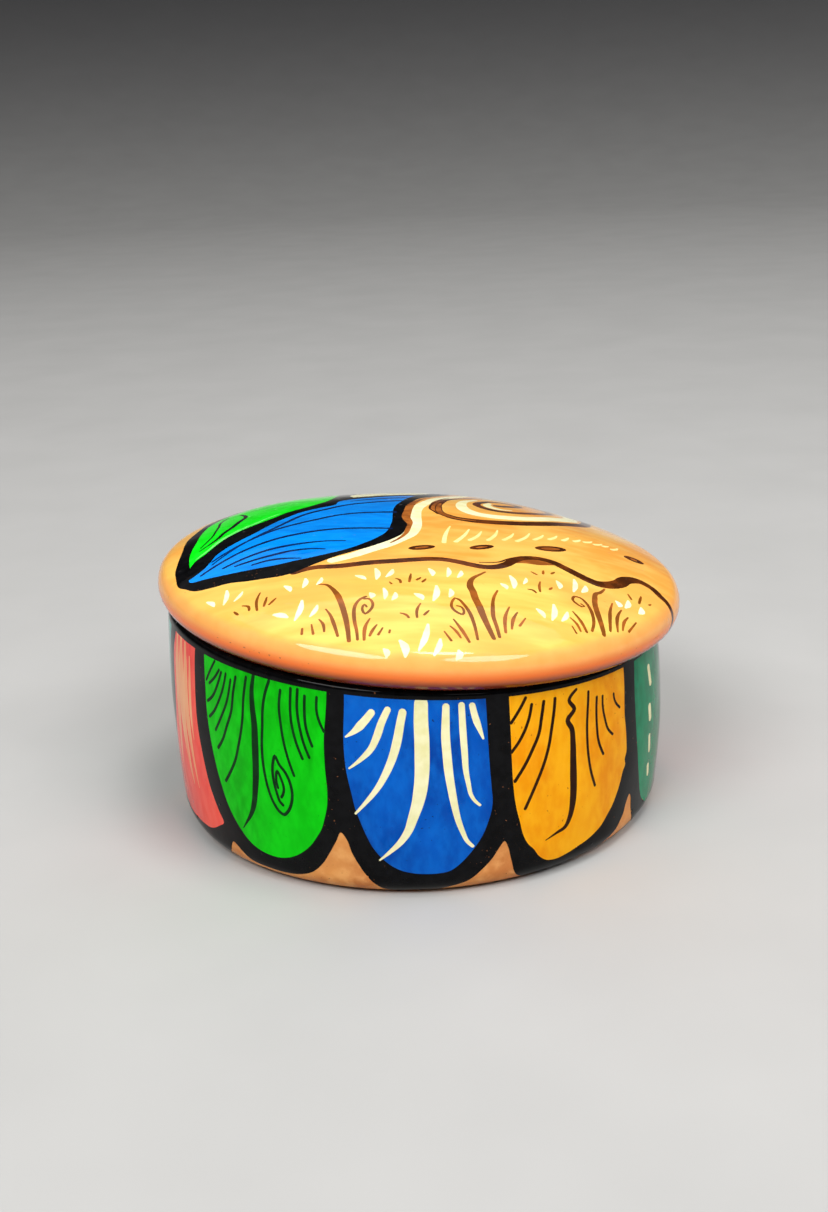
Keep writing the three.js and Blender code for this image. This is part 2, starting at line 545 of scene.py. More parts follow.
def orange_paint():
    """The lid's orange ground, yellower in places."""
    s = Shader("lid_orange")
    tone = s.mix(s.span(s.noise(13.0, 3.0, seed=2.0), 0.38, 0.66), colour(0xEFA244), colour(0xF4B856))
    streak = s.span(s.noise(4.0, 4.0, (0.5, 1.6, 1), 5.0), 0.4, 0.75)
    tone = s.mix(s.math("MULTIPLY", streak, 0.45), tone, colour(0xF6CA6C))
    return varnish(s, rim_fade_and_shade(s, tone), ior=THICK_VARNISH)


def clay(name, deep, middle, light, coat=0.8, roughness=0.6):
    """Fired terracotta under varnish: mottled, with fine grit."""
    s = Shader(name)
    tone = s.mix(s.span(s.noise(11.0, 4.0, seed=1.0), 0.35, 0.65), colour(deep), colour(middle))
    tone = s.mix(s.math("MULTIPLY", s.span(s.noise(2.2, 5.0, seed=4.0), 0.4, 0.75), 0.6),
                 tone, colour(light))
    grit = s.span(s.noise(0.6, 2.0, seed=6.0), 0.70, 0.76)
    tone = s.mix(s.math("MULTIPLY", grit, 0.6), tone, colour(0x6E3A20))
    return varnish(s, tone, roughness, 0.05, coat)


def washed(name, thin, thick, size):
    """A thin brown brush line: darker where the brush left more paint."""
    s = Shader(name)
    load = s.span(s.noise(size, 3.0, seed=2.0), 0.36, 0.6)
    return varnish(s, s.mix(load, colour(thin), colour(thick)), ior=THICK_VARNISH)


MATERIALS = {
    "clay": clay("terracotta", 0xC67942, 0xE39A55, 0xEFB06C),
    # The lid's underside clay is darker than the base's clay: painted shade under the lid.
    "shaded_inside_clay": clay("terracotta_inside_shade", 0xA85C34, 0xC0703F, 0xCE8450, 0.55, 0.65),
    "ring_clay": clay("terracotta_ring", 0xA65A33, 0xBD6E42, 0xCB8355, 0.35, 0.7),
    "orange": orange_paint(),
    "land": land_paint(),
    "black": painted("black_brushed", 0x050506, 0x09090B, 0x141416, speck=0x7A4A2C, relief=0.03),
    "green": painted("leaf_green", 0x00A800, 0x00CC06, 0x10E014, (1, 1, 0.5), 0x0B7A12),
    "lid_green": painted("lid_green", 0x00D80A, 0x04F018, 0x20F830, (1, 0.7, 1), ior=1.3),
    "pale_green": painted("pale_green", 0x2EE040, 0x6CF06A, 0x9CF790, ior=1.3),
    "blue": painted("cobalt_blue", 0x003E9A, 0x0058BE, 0x0A6ED2, (1, 1, 0.5), 0x0A2F66),
    "sky_blue": painted("sky_blue", 0x0074D2, 0x0086EA, 0x0A96F6, (0.5, 1.4, 1), ior=1.3),
    "navy": painted("navy_lines", 0x04163C, 0x082452, 0x0E3470),
    "amber": painted("amber", 0xEE9000, 0xFAAA06, 0xFFBA1C, (1, 1, 0.5), 0xC46A08),
    "teal": painted("teal", 0x006444, 0x008055, 0x009866, (1, 1, 0.5)),
    "pale_teal": painted("pale_teal", 0x3F968C, 0x5FB0A8, 0x86CCC2, (1, 1, 0.4)),
    "coral": painted("coral", 0xF0403A, 0xFF5A48, 0xFF7060, (1, 1, 0.35)),
    "peach": painted("peach_dry_brush", 0xF2604A, 0xF4A06E, 0xF7C896, (1.6, 1.6, 0.16), size=3.2),
    "cream": painted("cream", 0xE8E2A4, 0xF2ECBA, 0xFCF8D2, relief=0.05),
    "pale_yellow": painted("pale_yellow", 0xF8D880, 0xFBE694, 0xFFF0B0),
    "white": painted("cream_white", 0xF2E4A4, 0xF9F0BC, 0xFFFADA, relief=0.05),
    "brown": washed("brown_brush", 0x6C3410, 0x44200A, 4.0),
    "brown_wash": washed("brown_wash", 0xB4692A, 0x8E4E1E, 3.0),
    "grass": washed("grass_brown", 0xA0561A, 0x7C4410, 4.0),
    "dark_green": painted("dark_green_lines", 0x02240A, 0x04300E, 0x084416),
    "dark_brown": painted("dark_brown_lines", 0x1C0C04, 0x2A1206, 0x3A1A08),
}

# ---------------------------------------------------------------------------------- lid painting

LID_EDGE = DOME_RADIUS + RIM_ROUND * (RIM_END + np.radians(84))
OUT = 62
# The lid's points are (x, y) in millimetres on its plan, seen from above.
WAVY = [
    (-23, -24.6), (-20, -23.4), (-15, -23.3), (-10, -22.4), (-5, -21.6), (-2, -20.9), (1, -20.2),
    (3.5, -20.1), (6, -20.7), (8.5, -21.6), (11, -22.1), (13, -21.6), (14.7, -20.2), (16.5, -17.6),
    (18.5, -15.8), (21, -15.1), (23.5, -15.7), (25.5, -17.5), (27.5, -19.2), (29.5, -20.6), (31.5, -21.2),
    (33.5, -20.5), (35.5, -18.8), (37.5, -15.8), (40.3, -14.2), (42.5, -15), (44, -17.3), (45.8, -20.2),
]
BLACK_FOOT = [
    (-44.4, -18.5), (-43.6, -20.6), (-42.4, -21.9), (-40.6, -23.6), (-37.5, -24.1), (-34.4, -24.1),
    (-31.1, -24.9), (-28.3, -25.2), (-25, -25.2), (-23, -24.6),
]
BLACK_LEFT = [
    (-43, 17.5), (-44.3, 9.8), (-45.3, 4.2), (-45.4, 0.9), (-45.3, -3), (-45.4, -9.9), (-45.3, -13.6),
    (-44.7, -16.9), (-44.4, -18.5),
]
BLACK_RIGHT = [
    (-23, -24.6), (-19, -21.6), (-15.3, -18.9), (-12.8, -17.3), (-10, -15.3), (-8.1, -13.4), (-6.4, -11.4),
    (-5, -9.2), (-3.9, -7), (-3.1, -2.6), (-2.8, 0), (-3.5, 3), (-3.8, 4.9), (-3.4, 9.1), (-2.8, 13.6),
    (-1.4, 18), (0.2, 22.3), (1.9, 24.8), (4.2, 28), (6.5, 32), (7.5, 36.5), (6, 40.5),
]
BLACK_TOP = [
    (6, 40.5), (0, 42.8), (-8, 42.2), (-16, 40.2), (-24, 37), (-31, 32.5), (-37, 26.5), (-43, 17.5),
]
GREEN_LEFT = [
    (-17, 37.2), (-22, 35.2), (-28, 31.4), (-34, 26.2), (-38.6, 21), (-40.8, 17), (-41.9, 13.7),
    (-42.6, 8.9), (-42.9, 4.8), (-43, 0), (-43.3, -4.4), (-43.3, -8.6), (-42.6, -13.6),
]
GREEN_RIGHT = [
    (-42.6, -13.6), (-41.9, -11.1), (-40.3, -8.8), (-38.9, -5.8), (-37.5, -3), (-35.6, 0), (-33.3, 2.8),
    (-31.1, 5.3), (-28.9, 7.8), (-26.4, 11.2), (-23.3, 13.9), (-20.8, 16.7), (-18.9, 19.8), (-17.4, 26),
    (-16.8, 31), (-17, 37.2),
]
BLUE_FOOT = [
    (-42.2, -18.8), (-41.9, -19.7), (-38.9, -20.2), (-35, -20.5), (-30.6, -20.6), (-26.1, -20.4),
    (-23.3, -19.7), (-20, -18.8), (-17.2, -17.7), (-14.4, -16.3), (-12.8, -15.1), (-10.9, -13.1),
    (-9.2, -10.9), (-8, -8.7), (-7, -6.4), (-6.4, -3.7), (-6, -0.9), (-5.7, 2.4), (-5.6, 6.5), (-5.4, 10.8),
    (-4.9, 13.8), (-3.7, 18), (-2.8, 21.3), (-1.7, 24.1), (-0.8, 26.3),
]
BLUE_TOP = [
    (-0.8, 26.3), (-5, 24.9), (-7.2, 23.8), (-10, 22.4), (-12.8, 21.3), (-14.7, 20.2), (-16.4, 18.6),
    (-17.2, 15.1), (-19.4, 13.4), (-22.2, 11.4), (-24.2, 9.5), (-26.1, 7), (-28.3, 3.9), (-30, 0.9),
    (-31.7, -2.2), (-34.4, -5.8), (-36.1, -8), (-38.1, -11.1), (-38.9, -13.8), (-40, -16.3), (-42.2, -18.8),
]
WHITE_PATCH = [
    (-13.6, 23.6), (-9.5, 25.2), (-5, 27.2), (-1.2, 29), (1.6, 31.8), (3, 35.4), (3.4, 38.6), (1.6, 40.6),
    (-2.4, 39.8), (-6.6, 37.8), (-10.4, 34.8), (-13, 31), (-14.4, 27), (-13.6, 23.6),
]
PATCH_LINES = [
    [(-12.2, 26.4), (-8.4, 31.2), (-3.4, 35.8), (1.4, 39)], [(-9.2, 26.8), (-4.8, 30.8), (-0.4, 35.2)],
    [(-12.8, 29.4), (-9.8, 33.2), (-6, 36.2)],
]

LID_LINES = [
    ("navy", (0.4, 1.0, 1.0), [(-38.4, -15), (-35, -10), (-31.6, -5.2), (-28.2, -0.4), (-25.6, 3.9),
        (-23.4, 7.4), (-21, 9.8), (-18.6, 11.6), (-16.7, 13.4), (-13.7, 15.5), (-10.9, 16.6), (-6.7, 18),
        (-3.9, 18.6)]),
    ("navy", (0.5, 1.0, 0.95), [(-38.5, -13.6), (-35, -9.4), (-30.8, -4.7), (-27.8, -1.6), (-23.6, 1.4),
        (-19.8, 3.8), (-16.4, 6.1), (-13.7, 7.2), (-8.1, 8.1), (-5.2, 8.3)]),
    ("navy", (0.6, 1.05, 0.9), [(-40, -18.3), (-36.7, -15), (-32.2, -11.1), (-27.2, -7.7), (-22.2, -5.5),
        (-16.4, -3.9), (-10.9, -3.4), (-6, -3.3)]),
    ("navy", (0.6, 1.0, 0.5), [(-36.1, -17.7), (-32.8, -15.5), (-27.8, -12.9), (-22.2, -11.5),
        (-19.4, -11.2), (-14.4, -11.5)]),
    ("navy", (0.6, 0.95, 0.5), [(-33.9, -18), (-28.3, -16.1), (-23.1, -14.7), (-20, -14.8), (-18, -15.4)]),
    ("navy", (0.5, 0.85, 0.4), [(-30.8, -18.8), (-27.8, -18), (-26.1, -18), (-22.1, -18.8)]),
    ("navy", (0.4, 0.9, 0.9), [(-14, 18.6), (-10.5, 20.2), (-6.5, 21.6), (-2.8, 22.6)]),
    ("black", (0.3, 0.5, 0.55), [(-41.7, -4.7), (-40.8, -1.9), (-40.1, 1.4), (-39.9, 5.3), (-39.8, 9.5),
        (-39.9, 13.7), (-38.8, 18)]),
    ("black", (0.3, 0.9, 1.1, 0.6), [(-41.7, -6.3), (-38.9, -1.6), (-38.1, 1.4), (-36.7, 5.3), (-35.8, 9.5),
        (-34.9, 13.7), (-35.3, 15.6), (-36.3, 17.8)]),
    ("pale_green", (0.3, 0.9, 0.9, 0.3), [(-41.9, -10.2), (-39.7, -6.6), (-38.1, -3), (-36.1, 0),
        (-34.2, 2.8), (-32.2, 5.3), (-30, 8.4), (-27.8, 10.9)]),
]

CREAM_SWEEP = [
    (-16.4, -20.9), (-12.5, -18.8), (-9.5, -16.3), (-6.6, -13.5), (-4.4, -10.2), (-2.6, -7), (-1.5, -3),
    (-1.1, 1), (-1.1, 6), (-0.9, 10.2), (0.1, 14), (1.5, 17.5), (3, 21), (5, 24.5), (7.6, 28), (9.6, 32),
    (10.2, 36), (9, 40),
]
BROWN_EDGE = [
    (-6, -12.6), (-4.3, -9.6), (-3.1, -6), (-2.6, -2), (-2.4, 1.5), (-3, 4.5), (-2.8, 9), (-2.3, 13),
    (-0.9, 17.6), (0.7, 21.6), (2.6, 24.8),
]

SWIRL = [
    (34.9, 23.5), (34.4, 20.1), (33.6, 17.3), (32.2, 15.1), (30.5, 13.2), (28.3, 11.2), (26.1, 9.3),
    (23.8, 7.6), (21.1, 6.2), (18, 5.1), (15.2, 4.5), (13, 4.2), (10.5, 4.2), (8.6, 4.6), (6.6, 5.4),
    (5.2, 6.8), (4.1, 8.4), (3.6, 10.4), (3.6, 12.8), (3.7, 14.6), (4.1, 16.8), (4.7, 19), (5.2, 20.9),
    (6.3, 22.9), (7.7, 24.6), (10, 26.4),
]
SWIRL_BACK = [(10, 26.4), (13.4, 29.2), (18, 30.6), (23, 29.6), (26.3, 27), (27.4, 23.4)]
SWIRL_INNER = [
    (27.4, 23.4), (26.1, 20.7), (24.7, 18.7), (23, 17.1), (21.3, 15.7), (19.1, 14.6), (16.9, 14.3),
    (14.7, 14.8), (13.3, 15.9), (12.2, 17.3), (11.6, 19), (11.9, 20.9), (13.1, 22.9),
]
SWIRL_END = [
    (13.1, 22.9), (15.4, 25.4), (18.6, 26.3), (20.8, 25.2), (20.4, 23.4), (18.6, 21.8), (17.4, 20.9),
    (16, 20.4),
]
SWIRL_OUTER = [(34.9, 23.5), (34.2, 28), (31, 32.4), (26, 35), (20, 35.8), (15, 34.4)]
SWIRL_CREAM = [
    (11.6, 24.6), (9.5, 22), (8.5, 18.5), (8.4, 15), (9, 12.5), (11, 9.8), (14, 8.8), (18, 9.2), (22, 10.7),
    (26, 14), (29.5, 17.5), (31.2, 20.5), (31.2, 24.5), (29.4, 28.6), (25, 32.4), (19, 33.2), (14, 31),
]
CRESCENT = [(14.6, 22.4), (13.8, 20), (14.3, 17.9), (16, 16.6), (18.6, 16.9)]
SWIRL_FAINT = [
    (6.2, 25.6), (4.6, 22), (3.3, 18.2), (2.4, 15.9), (1.9, 13.4), (1.9, 11.2), (2.6, 9.6), (3.3, 7.9),
]

TICKS = [
    ((3.9, -10.8), (4.2, -7), (5.4, -0.5)), ((6.1, -10), (7.8, -6), (9, -1.7)),
    ((8.8, -8.5), (10.4, -5.6), (11.3, -2.5)), ((12.3, -7.8), (13.8, -4.2), (14.5, -0.8)),
    ((15.3, -6.8), (16.7, -4.4), (17.5, -2)), ((17.8, -6.8), (19.7, -3.8), (20.7, -0.8)),
    ((21.3, -4.6), (22.6, -2.8), (23.3, -1)), ((24.3, -3.2), (25.4, -1.8), (26, -0.3)),
    ((27, -2.6), (27.8, -1.4), (28.3, -0.2)), ((29.3, -1.8), (30.1, -1), (30.6, 0)),
    ((31.4, -0.9), (32.4, -0.2), (33, 0.8)), ((33.4, -0.8), (34.4, 0), (35, 1)),
    ((35.2, -0.3), (35.8, 0.2), (36.3, 0.8)), ((36.8, -0.9), (37.7, 0.2), (38.2, 1.4)),
]

SPOTS = [
    (-0.3, -14.4, 2.7, 1.2, 25), (10.8, -12.3, 2.6, 1.2, 30), (24, -8.7, 3.2, 1.4, 18),
    (40.8, -2.9, 2.0, 1.4, 0),
]

SPRIGS = [
    [(-28.5, -29.9), (-28.9, -32), (-28.6, -35)], [(-27.2, -31.7), (-27.5, -34.2)],
    [(-25.6, -32.5), (-26.6, -34)], [(-31.3, -32.8), (-30.3, -33.3), (-30, -34.5)],
    [(-32.6, -34), (-31.9, -35)], [(-2.4, -26.8), (-2.7, -29.6)], [(-5, -28.6), (-4.4, -29), (-4.2, -30)],
    [(-0.7, -28), (-1.4, -28.9)], [(0.2, -28.4), (-0.4, -29.5)], [(-6.1, -29.8), (-5.8, -30.4)],
    [(-0.8, -36.4), (-1.4, -38.2), (-1.4, -40.3)], [(-4.2, -39.2), (-3.3, -39.6), (-2.8, -40.4)],
    [(0.6, -38.4), (-0.2, -39.6)], [(19.2, -22.1), (20.1, -23)], [(21.5, -20.8), (21.3, -22.3)],
    [(23.5, -20.6), (22.9, -21.6)], [(20.5, -25.7), (20.2, -27.4), (20.2, -29.2)],
    [(18.1, -29.1), (19, -29.2), (19.4, -29.8)], [(22.5, -27.1), (22, -27.9)],
    [(39.6, -20.6), (39.2, -22.1), (38.8, -23.7)], [(37, -21.6), (37.4, -23.2)],
    [(41.2, -22.2), (40.8, -22.8)],
]

# Each tuft: its main stem, its curl, then its blades.
TUFTS = [
    ((0.4, 1.1, 1.0, 0.7), [(-18.3, -29.6), (-17, -30), (-16, -31.4), (-15.1, -33.3), (-14.4, -35.6),
        (-13.8, -38.1), (-13.2, -41.1), (-12.8, -43.9), (-12.6, -45.8)]),
    ((0.5, 0.7, 0.5), [(-11.2, -45.6), (-11.4, -43.6), (-11.8, -41.4), (-12, -39.4), (-12, -37.8),
        (-11.7, -36.4), (-11, -35.1), (-10.1, -34.4)]),
    ((0.5, 0.55, 0.4), [(-10.4, -35.1), (-9.6, -35.1), (-9, -36), (-8.9, -37.2), (-9.4, -38.5),
        (-10.1, -39.3), (-10.6, -38.3), (-10.6, -37.4), (-10.3, -36.7), (-9.9, -37.4)]),
    ((0.3, 0.7, 0.5), [(-16.8, -37.6), (-16, -39.2), (-15.4, -41.1), (-14.5, -44.5)]),
    ((0.3, 0.6, 0.4), [(-17.8, -40.2), (-17.1, -41.4), (-16.8, -43.2)]),
    ((0.3, 0.5), [(-19, -41.3), (-18.6, -43.5)]),
    ((0.4, 0.5), [(-20.5, -42), (-20.5, -43.2)]),
    ((0.3, 0.7, 0.5), [(-9.3, -40.6), (-9.9, -42.2), (-10.1, -45.7)]),
    ((0.3, 0.6, 0.5), [(-8.1, -42.2), (-8.8, -43.6), (-9.2, -44.8)]),
    ((0.3, 0.5), [(-7.1, -43), (-7.8, -44.6)]),
    ((0.4, 0.4), [(-5.9, -43.6), (-6, -44.2)]),
    ((0.4, 1.3, 1.3, 0.8), [(10.8, -24.2), (9.8, -25.4), (8.6, -26.8), (8, -28.3), (7.9, -30.1),
        (8.3, -31.8), (8.6, -33.9), (9.2, -36.2), (9.8, -38.9), (10.5, -41.5), (11.3, -44.1)]),
    ((0.4, 0.8, 0.6), [(12.6, -30.8), (11.8, -33.3), (11.5, -36.2), (11.5, -38.6), (12, -41.5),
        (12.3, -43.6)]),
    ((0.5, 0.7, 0.5), [(8.6, -44.8), (8.4, -43), (8, -40.4), (7.4, -38), (6.5, -35.9), (5.7, -34.6),
        (5.1, -34.3), (4.8, -34.8)]),
    ((0.5, 0.55, 0.4), [(4.8, -34.8), (4.5, -35.8), (4.5, -37.1), (5.2, -38.3), (6.3, -38.9), (6.5, -37.7),
        (5.9, -36.7), (5.4, -36.6)]),
    ((0.3, 0.7, 0.5), [(4.7, -40.4), (5.9, -42.7), (7.2, -45.6)]),
    ((0.3, 0.6, 0.4), [(4.1, -42.2), (5.1, -43.4), (5.8, -44.8)]),
    ((0.3, 0.5), [(3.1, -43.6), (4.2, -45.6)]),
    ((0.3, 0.7, 0.5), [(14.4, -35.4), (13.6, -38), (13.4, -42.3)]),
    ((0.3, 0.7, 0.4), [(15.7, -36.6), (14.9, -38.6), (14.5, -41.2)]),
    ((0.3, 0.5), [(17, -37.9), (15.9, -40.1)]),
    ((0.4, 1.0, 1.1, 0.8), [(32.5, -22.6), (31.4, -24.6), (30.6, -25.4), (30.2, -27.1), (30, -29.2),
        (30.1, -31.2), (30.4, -33.9), (30.7, -37.3)]),
    ((0.5, 0.7, 0.5), [(28.6, -37.4), (29.1, -35.4), (29.2, -33.3), (28.9, -31.2), (28.3, -29.5),
        (27.4, -28.4), (26.4, -28.4)]),
    ((0.5, 0.55, 0.4), [(26.4, -28.4), (26, -29.2), (26, -29.9), (26.5, -30.6), (27.4, -31.2),
        (27.9, -30.9), (27.4, -30.4)]),
    ((0.3, 0.7, 0.5), [(33.4, -27.1), (32.7, -29.8), (32.3, -32.7), (32, -35.8)]),
    ((0.3, 0.7, 0.4), [(34.9, -28.4), (34, -30.6), (33.5, -33.3), (33.4, -35.1)]),
    ((0.3, 0.6, 0.4), [(35.9, -30.1), (34.9, -32.1), (34.4, -34.2)]),
    ((0.3, 0.5), [(37.3, -30.6), (35.6, -33.6)]),
    ((0.3, 0.7, 0.5), [(25.6, -33.4), (26.7, -35.4), (27.6, -38.1)]),
    ((0.3, 0.6, 0.4), [(25, -35.4), (25.9, -36.5), (26.5, -38.3)]),
    ((0.3, 0.4), [(25.1, -37.6), (25.7, -39.1)]),
]

DABS = [
    (-37.8, -28.7, -36.4, -30.7, 1.1), (-34.6, -26.5, -34.7, -31, 1.0), (-31.7, -28.3, -32.9, -30.7, 0.8),
    (-24.3, -29, -23.2, -30.9, 1.2), (-20.8, -27.2, -21.1, -30.2, 1.1), (-18, -27.4, -18.7, -29.6, 1.0),
    (-12, -27.3, -10.3, -28.7, 1.2), (-8.6, -24.9, -8.4, -28.8, 1.2), (-5.6, -25.3, -6.7, -28, 1.1),
    (-25.6, -37.2, -23.2, -38.6, 1.4), (-21, -34.4, -21.9, -39.7, 1.2), (-18.3, -36.3, -19.4, -39.2, 1.0),
    (-9.4, -33.4, -9.2, -34.7, 1.3), (-7.1, -31.9, -6.9, -35.1, 1.0), (-5.1, -33.3, -5.6, -35.4, 1.1),
    (-1.7, -33.5, -0.4, -35.1, 1.4), (2, -30.6, 1.4, -35.4, 1.3), (4.4, -31.5, 4.2, -34, 1.1),
    (0.8, -24.5, 1.4, -27, 1.2), (4.2, -23.7, 4, -27.1, 1.0), (6.5, -24.6, 5.8, -27.1, 1.0),
    (13.4, -28.3, 14.3, -29.8, 1.2), (15.2, -24.9, 15.6, -29.3, 1.3), (18, -25.1, 17.4, -27.4, 0.8),
    (23.6, -24.2, 23.9, -26.8, 1.2), (27, -22, 26.4, -26.8, 1.1), (28.9, -23.6, 28, -26.2, 1.2),
    (34.3, -25.9, 34.6, -27.4, 1.4), (36.7, -24.2, 35.8, -27.1, 1.2), (39, -25.1, 38.3, -27.4, 1.3),
    (19.2, -34.8, 20.4, -36.8, 1.2), (22.3, -32.6, 21.7, -37.1, 1.2), (24.6, -34, 23.4, -36.8, 1.0),
    (0.4, -42.1, -1.1, -48, 1.3), (2.4, -45.5, 1.4, -48.7, 1.2), (5.4, -47.7, 5.1, -48.9, 1.4),
    (-4.2, -46.1, -3.3, -48.9, 1.6), (-6.8, -47.8, -6.4, -48.8, 1.3),
]


def lid_shapes():
    """The lid's painting, in the order that it was laid on."""
    shapes = []

    def fill(colour_name, *edges):
        shapes.append((colour_name, outline(*[on_lid(edge) for edge in edges])))

    def line(colour_name, widths, points):
        shapes.append((colour_name, brush(on_lid(points), widths)))

    shapes.append(("orange", circle(LID_EDGE + 2)))
    land_left = [(-OUT, -26), (-46, -21.5), (-43.6, -20.6)]
    fill("land", land_left, BLACK_FOOT[1:], WAVY, [WAVY[-1], (OUT, -28)],
         [(OUT, -28), (OUT, -OUT)], [(OUT, -OUT), (-OUT, -OUT)], [(-OUT, -OUT), (-OUT, -26)])
    line("brown_wash", (0.4, 2.2, 2.6, 0.6), [(15.6, -19.6), (17.6, -17.6), (20.4, -17.2), (24, -16.9)])
    line("brown", (1.4, 1.8, 1.9, 1.8, 1.9, 1.8, 2.2, 2.5, 1.6, 1.2), WAVY + [(47.2, -23)])
    line("brown", (0.3, 0.5, 0.4), [(10, -20.3), (13.5, -19.3), (15.5, -17.2), (18, -15.2)])
    line("cream", (1.9, 2.4, 2.7, 2.2, 2.3, 2.3, 2.2, 0.4), CREAM_SWEEP)
    line("brown_wash", (0.4, 0.8, 1.2, 2.0, 2.0, 1.0, 0.4), BROWN_EDGE)
    fill("black", BLACK_LEFT, BLACK_FOOT, BLACK_RIGHT, BLACK_TOP)
    fill("lid_green", GREEN_LEFT, GREEN_RIGHT)
    fill("sky_blue", BLUE_FOOT, BLUE_TOP)
    fill("cream", WHITE_PATCH)
    for points in PATCH_LINES:
        line("brown", (0.3, 0.7, 0.3), points)
    for colour_name, widths, points in LID_LINES:
        line(colour_name, widths, points)
    line("brown_wash", (0.6, 1.6, 1.8, 0.8), [(4.6, 22.2), (3, 16.5), (2.7, 11.5), (4, 7.6)])
    line("brown", (0.3, 0.5, 0.5, 0.4), SWIRL_FAINT)
    line("brown", (2.0, 2.3, 2.6, 2.9, 2.8, 2.6, 1.7, 1.3, 1.2, 1.2), SWIRL)
    line("brown", (1.8, 1.6, 1.2), SWIRL_OUTER)
    line("brown_wash", (0.3, 0.9, 1.2, 1.0, 0.5), SWIRL[12:21])
    line("brown", (1.1, 1.4, 1.6), SWIRL_BACK)
    line("brown", (1.6, 1.8, 2.0, 1.8, 1.5), SWIRL_INNER)
    line("brown", (1.5, 1.4, 1.8, 2.0), SWIRL_END)
    line("cream", (1.2, 2.8, 3.0, 3.0, 2.6, 1.6), SWIRL_CREAM)
    line("cream", (0.8, 1.9, 1.6, 0.5), CRESCENT)
    for points in TICKS:
        line("pale_yellow", (0.9, 0.75, 0.3), points)
    for x, y, long, short, tilt in SPOTS:
        shapes.append(("brown", on_lid(ellipse(x, y, long, short, tilt))))
        shapes.append(("brown_wash", on_lid(ellipse(x, y, long - 1.3, short - 0.8, tilt))))
    for points in SPRIGS:
        line("grass", (0.3, 0.55, 0.45), points)
    for widths, points in TUFTS:
        line("grass", widths, points)
    for x0, y0, x1, y1, width in DABS:
        bend = 0.25 * width
        line("white", (0.35 * width, 0.85 * width, 0.85 * width, 0.3 * width),
             [(x0, y0), ((x0 + x1) / 2 + bend, (y0 + y1) / 2), (x1, y1)])
    return shapes


def circle(radius, count=360):
    turn = np.linspace(0, 2 * np.pi, count, endpoint=False)
    return np.stack([radius * np.cos(turn), radius * np.sin(turn)], -1)


# ---------------------------------------------------------------------------------- wall painting

WALL_TOP = LIP + 2.6
WALL_FOOT = -0.8
SEAM, FULL_TURN, PAST_SEAM = 185.0, 360.0, 2.0
BAND = np.array([[SEAM + PAST_SEAM, 1], [SEAM - FULL_TURN - PAST_SEAM, 1]]) * (UNROLL, 1)
ABOVE = 46.0
# The black band at the lip is painted shade for the dark gap under the lid: it starts this far under the
# lip's round, and goes over it.
LIP_SHADE_START, LIP_SHADE_OVER = 0.45, 4.0
# How far round the petals, the peach strokes and the teal dashes are repeated.
REPEAT, PEACH_REPEAT, TEAL_REPEAT = 168.0, 160, -188
PEACH_DROP = 6.5

# The wall's points are degrees from the front, and millimetres above the floor.
GREEN_PETAL = [
    (-52.2, ABOVE), (-52.2, 35), (-52.2, 30), (-51.5, 25), (-50.1, 20), (-48.1, 15), (-46.6, 12),
    (-45.1, 10), (-43.6, 8.5), (-41.7, 7), (-39.1, 5.8), (-36.1, 5.2), (-33.1, 5.1), (-30.1, 5.7),
    (-27.1, 7.1), (-24.5, 9.1), (-22.6, 11.3), (-21.7, 12.5), (-20.6, 15), (-19.8, 17.5), (-19.5, 20),
    (-19.6, 25), (-19.5, 30), (-18.9, 35), (-18.3, ABOVE),
]
BLUE_PETAL = [
    (-14.6, ABOVE), (-15, 35), (-15.3, 30), (-15.1, 25), (-14.2, 20), (-13.7, 17.5), (-12.8, 15),
    (-11.8, 12.5), (-10.5, 10), (-8.8, 8), (-6.9, 6.5), (-4.7, 5.5), (-2.4, 5), (0, 4.8), (2.8, 4.8),
    (5.4, 5.2), (7.3, 6.3), (9.2, 7.9), (11, 9.8), (12.5, 11.9), (13.5, 14.1), (14.2, 16), (14.5, 18),
    (14.4, 20), (14.2, 24), (14.1, 28.5), (14.1, 32), (14.2, ABOVE),
]
AMBER_PETAL = [
    (19.2, ABOVE), (19.1, 30), (19, 25), (19.1, 20), (19.4, 17), (19.8, 15), (20.5, 12.5), (21.2, 10),
    (22.3, 8), (23.8, 6.5), (25, 4.9), (26.8, 3.7), (29.4, 3.25), (32, 3.5), (35, 4), (37.6, 4.4),
    (40.2, 5.1), (42.5, 6), (44.7, 7.6), (46.6, 9), (48.1, 10.7), (49.4, 12.6), (50.3, 14.4), (51.2, 15.6),
    (50.9, 16.5), (51.5, 17.8), (51.5, 20), (51.2, 23), (50.9, 25), (51, 27.3), (51.3, 29.8), (51.5, ABOVE),
]
TEAL_PETAL = [
    (56.3, ABOVE), (56.3, 32.4), (55.8, 30), (55.7, 25), (56.1, 20), (56.5, 17.5), (57.1, 15), (57.8, 12.5),
    (58.7, 10), (59.7, 7.5), (61.4, 5), (62.7, 4), (64.9, 3), (67.5, 3.2), (70.3, 4.6), (73, 7.6),
    (74.8, 11.5), (75.8, 17), (76.2, 24), (76, 30), (75.6, ABOVE),
]
CORAL_PETAL = [
    (-67.2, ABOVE), (-68.4, 40), (-70, 37.5), (-71, 33), (-71.3, 28), (-73, 22), (-77, 16), (-80.4, 10.5),
    (-80.6, 7.2), (-77.8, 5), (-72, 4), (-65, 4), (-60, 4.3), (-57, 4.6), (-54.4, 5.4), (-52.2, 6.5),
    (-49.8, 8), (-51.1, 10), (-52.6, 12.5), (-53.9, 15), (-55.4, 20), (-56.5, 25), (-56.9, 30), (-56.9, 35),
    (-55, ABOVE),
]
PALE_TEAL_PETAL = [
    (-103.4, ABOVE), (-103.6, 35), (-104, 28), (-104.4, 20), (-103.6, 13), (-101.6, 8), (-98, 5),
    (-93.4, 4.6), (-90, 6.4), (-88, 9.6), (-85, 14), (-81.6, 18.4), (-77.6, 24), (-76, 30), (-75.6, 35),
    (-73, 40), (-71, ABOVE),
]
